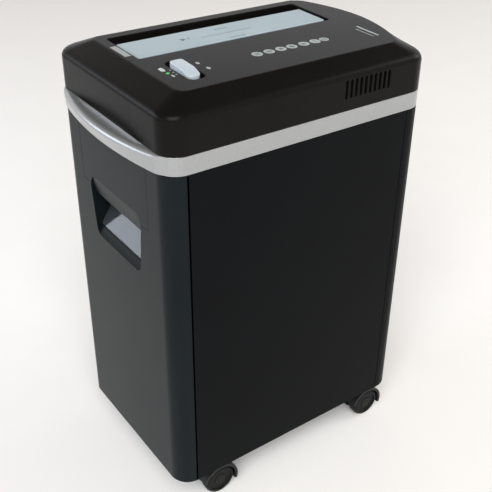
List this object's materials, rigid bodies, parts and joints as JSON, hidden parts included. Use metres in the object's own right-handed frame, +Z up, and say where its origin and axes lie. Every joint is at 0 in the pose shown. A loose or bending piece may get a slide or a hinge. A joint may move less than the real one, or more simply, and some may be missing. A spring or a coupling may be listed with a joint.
{
  "type": "paper shredder",
  "caption": "Upright office paper shredder on castors: feed slot in a black head with silver band and lip, geared cutters and motor inside, and a pull-out bin drawer with window.",
  "frame": {"origin": "on the floor under the middle of the object's box; the box is longer at the front by the lip's reach", "axes": "+Z up, -Y out of the drawer front, +X to the right seen from the front"},
  "size_m": [0.244, 0.3694, 0.5593],
  "materials": {
    "satin_black_panel": "satin",
    "black_shell": "satin",
    "silver_trim": "satin metallic",
    "feed_plate": "satin",
    "dark_plastic": "matte",
    "clear_window": "smoked clear",
    "slider_knob": "gloss",
    "clear_lens": "gloss",
    "green_lens": "gloss",
    "cutter_steel": "ground",
    "sheet_steel": "zinc plated",
    "bronze": "sintered",
    "gear_nylon": "matte",
    "switch_nylon": "matte",
    "circuit_board": "solder mask",
    "motor_steel": "enamel",
    "castor_nylon": "matte",
    "castor_tyre": "satin",
    "capacitor_can": "drawn"
  },
  "bodies": {
    "cabinet": {"base_plate": "dark_plastic", "side_panel_left": "satin_black_panel", "side_panel_right": "satin_black_panel", "rear_panel": "satin_black_panel", "top_deck": "dark_plastic", "bin_switch": "dark_plastic", "head_cover": "black_shell", "trim_band": "silver_trim", "head_tray": "dark_plastic", "feed_plate": "feed_plate", "feed_throat": "dark_plastic", "paper_sensor": "dark_plastic", "slide_switch": "sheet_steel", "lamp_lens": "clear_lens", "green_lens": "green_lens", "control_board": "circuit_board", "power_inlet": "dark_plastic", "front_plate": "sheet_steel", "rear_plate": "sheet_steel", "stripper_comb_right": "dark_plastic", "stripper_comb_left": "dark_plastic", "bush_front_left": "bronze", "bush_front_right": "bronze", "bush_rear_left": "bronze", "bush_rear_right": "bronze", "tie_bar_left": "sheet_steel", "tie_bar_right": "sheet_steel", "gear_cover": "dark_plastic", "motor_housing": "motor_steel", "motor_bracket": "sheet_steel", "run_capacitor": "capacitor_can"},
    "bin": {"bin_front": "black_shell", "grip_panel": "black_shell", "window_recess": "dark_plastic", "window_pane": "clear_window", "bin_tub": "dark_plastic"},
    "switch_plunger": {"bin_switch_plunger": "switch_nylon"},
    "slider": {"mode_knob": "slider_knob"},
    "rocker": {"power_rocker": "dark_plastic"},
    "rotor": {"motor_rotor": "cutter_steel", "motor_pinion": "cutter_steel", "motor_fan": "gear_nylon"},
    "compound_gear": {"compound_gear": "gear_nylon"},
    "cutter_right": {"cutter_shaft_right": "cutter_steel", "sync_gear_right": "cutter_steel", "drive_gear": "gear_nylon"},
    "cutter_left": {"cutter_shaft_left": "cutter_steel", "sync_gear_left": "cutter_steel"},
    "castor_front_left": {"castor_hood_front_left": "castor_nylon"},
    "wheel_front_left_a": {"castor_wheel_front_left_a": "castor_tyre"},
    "wheel_front_left_b": {"castor_wheel_front_left_b": "castor_tyre"},
    "castor_front_right": {"castor_hood_front_right": "castor_nylon"},
    "wheel_front_right_a": {"castor_wheel_front_right_a": "castor_tyre"},
    "wheel_front_right_b": {"castor_wheel_front_right_b": "castor_tyre"},
    "castor_rear_left": {"castor_hood_rear_left": "castor_nylon"},
    "wheel_rear_left_a": {"castor_wheel_rear_left_a": "castor_tyre"},
    "wheel_rear_left_b": {"castor_wheel_rear_left_b": "castor_tyre"},
    "castor_rear_right": {"castor_hood_rear_right": "castor_nylon"},
    "wheel_rear_right_a": {"castor_wheel_rear_right_a": "castor_tyre"},
    "wheel_rear_right_b": {"castor_wheel_rear_right_b": "castor_tyre"}
  },
  "joints": [
    {"name": "bin_slide", "type": "slide", "parent": "cabinet", "child": "bin", "axis": [0, -1, 0], "range_m": [0, 0.3]},
    {"name": "switch_press", "type": "slide", "parent": "cabinet", "child": "switch_plunger", "axis": [0, 1, 0], "range_m": [0, 0.004], "stiffness_N_per_m": 120},
    {"name": "mode_slide", "type": "slide", "parent": "cabinet", "child": "slider", "axis": [1, 0, 0], "range_m": [-0.0065, 0.0065]},
    {"name": "power_rocker_tilt", "type": "hinge", "parent": "cabinet", "child": "rocker", "pos_m": [0.047, 0.1767, 0.516], "axis": [1, 0, 0], "range_deg": [-20, 0]},
    {"name": "motor_spin", "type": "hinge", "parent": "cabinet", "child": "rotor", "pos_m": [0.03783, 0.0697, 0.49236], "axis": [0, 1, 0], "continuous": true},
    {"name": "compound_gear_spin", "type": "hinge", "parent": "cabinet", "child": "compound_gear", "pos_m": [-0.01217, 0.1497, 0.49236], "axis": [0, 1, 0], "continuous": true},
    {"name": "cutter_right_spin", "type": "hinge", "parent": "cabinet", "child": "cutter_right", "pos_m": [-0.0555, 0.0097, 0.5], "axis": [0, 1, 0], "continuous": true},
    {"name": "cutter_left_spin", "type": "hinge", "parent": "cabinet", "child": "cutter_left", "pos_m": [-0.0905, 0.0097, 0.5], "axis": [0, 1, 0], "continuous": true},
    {"name": "castor_front_left_swivel", "type": "hinge", "parent": "cabinet", "child": "castor_front_left", "pos_m": [-0.098, -0.1163, 0.05], "axis": [0, 0, 1], "continuous": true},
    {"name": "wheel_front_left_a_spin", "type": "hinge", "parent": "castor_front_left", "child": "wheel_front_left_a", "pos_m": [-0.098, -0.1043, 0.021], "axis": [1, 0, 0], "continuous": true},
    {"name": "wheel_front_left_b_spin", "type": "hinge", "parent": "castor_front_left", "child": "wheel_front_left_b", "pos_m": [-0.098, -0.1043, 0.021], "axis": [1, 0, 0], "continuous": true},
    {"name": "castor_front_right_swivel", "type": "hinge", "parent": "cabinet", "child": "castor_front_right", "pos_m": [0.098, -0.1163, 0.05], "axis": [0, 0, 1], "continuous": true},
    {"name": "wheel_front_right_a_spin", "type": "hinge", "parent": "castor_front_right", "child": "wheel_front_right_a", "pos_m": [0.098, -0.1043, 0.021], "axis": [1, 0, 0], "continuous": true},
    {"name": "wheel_front_right_b_spin", "type": "hinge", "parent": "castor_front_right", "child": "wheel_front_right_b", "pos_m": [0.098, -0.1043, 0.021], "axis": [1, 0, 0], "continuous": true},
    {"name": "castor_rear_left_swivel", "type": "hinge", "parent": "cabinet", "child": "castor_rear_left", "pos_m": [-0.098, 0.1357, 0.05], "axis": [0, 0, 1], "continuous": true},
    {"name": "wheel_rear_left_a_spin", "type": "hinge", "parent": "castor_rear_left", "child": "wheel_rear_left_a", "pos_m": [-0.098, 0.1477, 0.021], "axis": [1, 0, 0], "continuous": true},
    {"name": "wheel_rear_left_b_spin", "type": "hinge", "parent": "castor_rear_left", "child": "wheel_rear_left_b", "pos_m": [-0.098, 0.1477, 0.021], "axis": [1, 0, 0], "continuous": true},
    {"name": "castor_rear_right_swivel", "type": "hinge", "parent": "cabinet", "child": "castor_rear_right", "pos_m": [0.098, 0.1357, 0.05], "axis": [0, 0, 1], "continuous": true},
    {"name": "wheel_rear_right_a_spin", "type": "hinge", "parent": "castor_rear_right", "child": "wheel_rear_right_a", "pos_m": [0.098, 0.1477, 0.021], "axis": [1, 0, 0], "continuous": true},
    {"name": "wheel_rear_right_b_spin", "type": "hinge", "parent": "castor_rear_right", "child": "wheel_rear_right_b", "pos_m": [0.098, 0.1477, 0.021], "axis": [1, 0, 0], "continuous": true}
  ],
  "couplings": [
    {"joint": "compound_gear_spin", "follows": "motor_spin", "ratio": -0.25},
    {"joint": "cutter_right_spin", "follows": "motor_spin", "ratio": 0.083333},
    {"joint": "cutter_left_spin", "follows": "motor_spin", "ratio": -0.083333}
  ]
}
